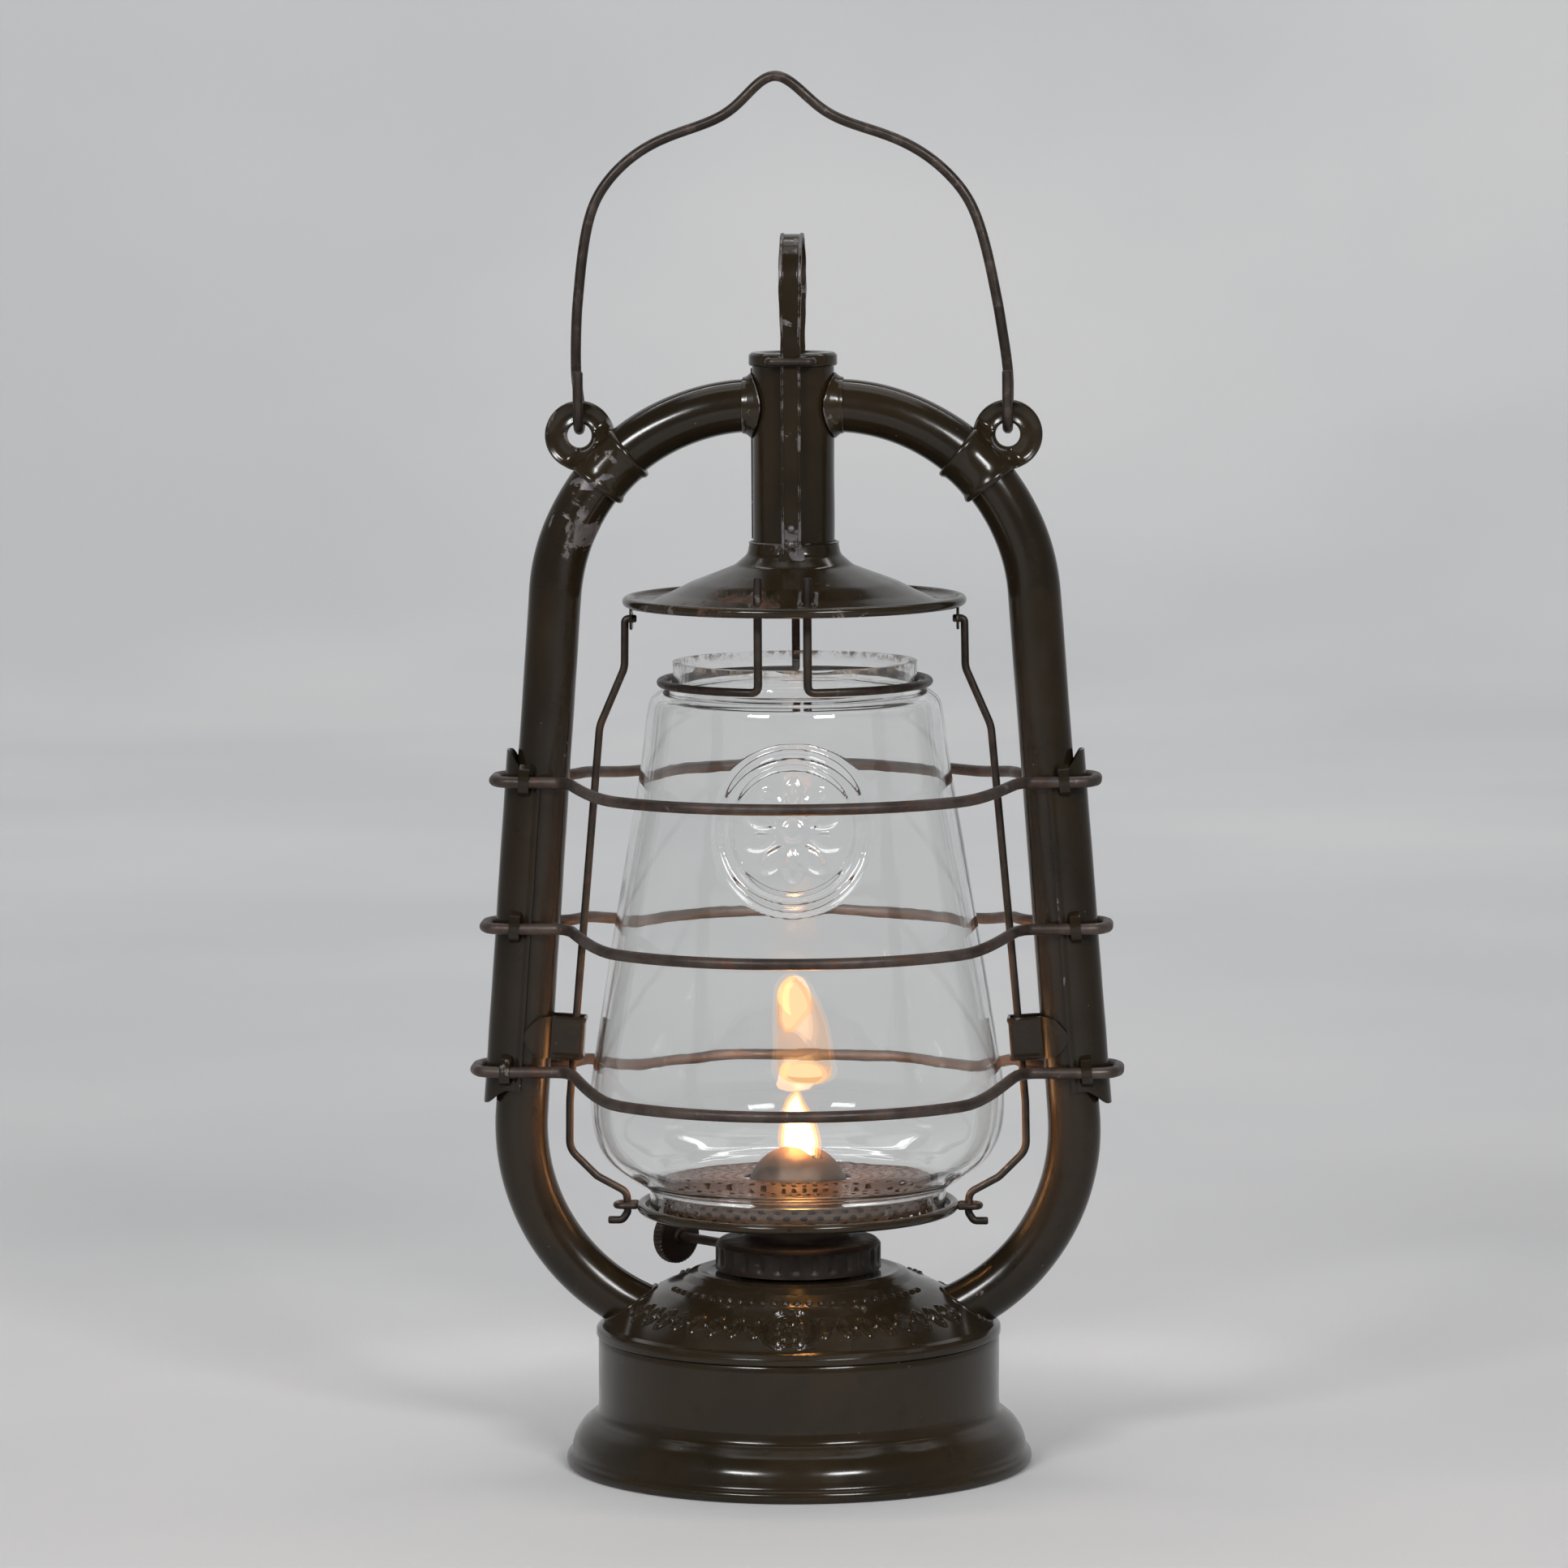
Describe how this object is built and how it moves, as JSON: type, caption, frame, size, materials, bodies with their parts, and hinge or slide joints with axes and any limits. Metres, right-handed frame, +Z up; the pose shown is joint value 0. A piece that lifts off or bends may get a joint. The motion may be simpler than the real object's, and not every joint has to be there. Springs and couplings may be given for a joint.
{
  "type": "hurricane lantern",
  "caption": "Tubular kerosene lantern with fuel tank, flat-wick burner, liftable glass globe, sliding hood, air tubes, wire guards and a swinging bail.",
  "frame": {"origin": "centre of the base, on the surface the lantern stands on", "axes": "+Z up along the chimney; the two air tubes lie along X and the front of the lantern faces -Y"},
  "size_m": [0.2008, 0.1438, 0.4283],
  "materials": {
    "enamel": "dark olive-brown stoving enamel on sheet steel, worn to grey steel at edges and rust-stained on the hood",
    "guard": "browned and rust-spotted steel wire",
    "wire": "dark tarnished steel wire",
    "burner": "sooted and browned sheet metal",
    "knob": "darkened knurled brass",
    "glass": "clear pressed glass with faint seams and plain raised ornament",
    "wick": "woven cotton, charred at the top edge",
    "gasket": "dull dark rubber washer"
  },
  "bodies": {
    "frame": {"tank_wall": "enamel", "tank_floor": "enamel", "tank_dome": "enamel", "filler_neck": "enamel", "chimney": "enamel", "chimney_cap": "enamel", "air_tube_left": "enamel", "air_tube_right": "enamel", "tube_flange_left": "enamel", "tube_flange_right": "enamel", "staple_front": "wire", "staple_back": "wire", "ear_left": "enamel", "ear_right": "enamel", "guard_top": "guard", "guard_middle": "guard", "guard_low": "guard", "sleeve_left": "enamel", "sleeve_right": "enamel", "clip_left": "enamel", "clip_right": "enamel"},
    "bail": {"bail": "guard"},
    "lift": {"globe_plate": "enamel", "plate_eye_left": "wire", "plate_eye_right": "wire", "globe": "glass", "hood": "enamel", "hood_lug_left": "enamel", "hood_lug_right": "enamel", "lift_strap": "enamel", "side_wire_left": "wire", "side_wire_right": "wire"},
    "retainer": {"retainer_left": "wire", "retainer_right": "wire"},
    "burner": {"burner_collar": "burner", "burner_cone": "burner", "burner_deck": "burner", "wick_tube": "burner", "spindle_bush": "burner"},
    "spindle": {"wick_spindle": "burner", "wick_knob": "knob"},
    "wick": {"wick": "wick"},
    "filler_gasket": {"filler_gasket": "gasket"},
    "filler_cap": {"filler_cap": "enamel"}
  },
  "joints": [
    {"name": "bail_swing", "type": "hinge", "parent": "frame", "child": "bail", "pos_m": [0, 0, 0.32435], "axis": [1, 0, 0], "range_deg": [-125, 125]},
    {"name": "lift_slide", "type": "slide", "parent": "frame", "child": "lift", "axis": [0, 0, 1], "range_m": [0, 0.026]},
    {"name": "retainer_lift", "type": "slide", "parent": "lift", "child": "retainer", "axis": [0, 0, 1], "range_m": [0, 0.01]},
    {"name": "burner_twist", "type": "hinge", "parent": "frame", "child": "burner", "pos_m": [0, 0, 0.0605], "axis": [0, 0, 1], "range_deg": [0, 25]},
    {"name": "knob_turn", "type": "hinge", "parent": "burner", "child": "spindle", "pos_m": [0.00351, 0.0037, 0.0626], "axis": [-0.7254, 0.6884, 0], "range_deg": [-140, 85]},
    {"name": "wick_raise", "type": "slide", "parent": "burner", "child": "wick", "axis": [0, 0, 1], "range_m": [-0.0098, 0.006]},
    {"name": "gasket_rise", "type": "slide", "parent": "frame", "child": "filler_gasket", "axis": [0, 0.454, 0.891], "range_m": [0, 0.0046]},
    {"name": "cap_turn", "type": "hinge", "parent": "filler_gasket", "child": "filler_cap", "pos_m": [0, 0.0435, 0.0544], "axis": [0, 0.454, 0.891], "range_deg": [0, 540]}
  ],
  "couplings": [
    {"joint": "wick_raise", "follows": "knob_turn", "m_per_rad": 0.004},
    {"joint": "gasket_rise", "follows": "cap_turn", "m_per_rad": 0.00047746}
  ]
}
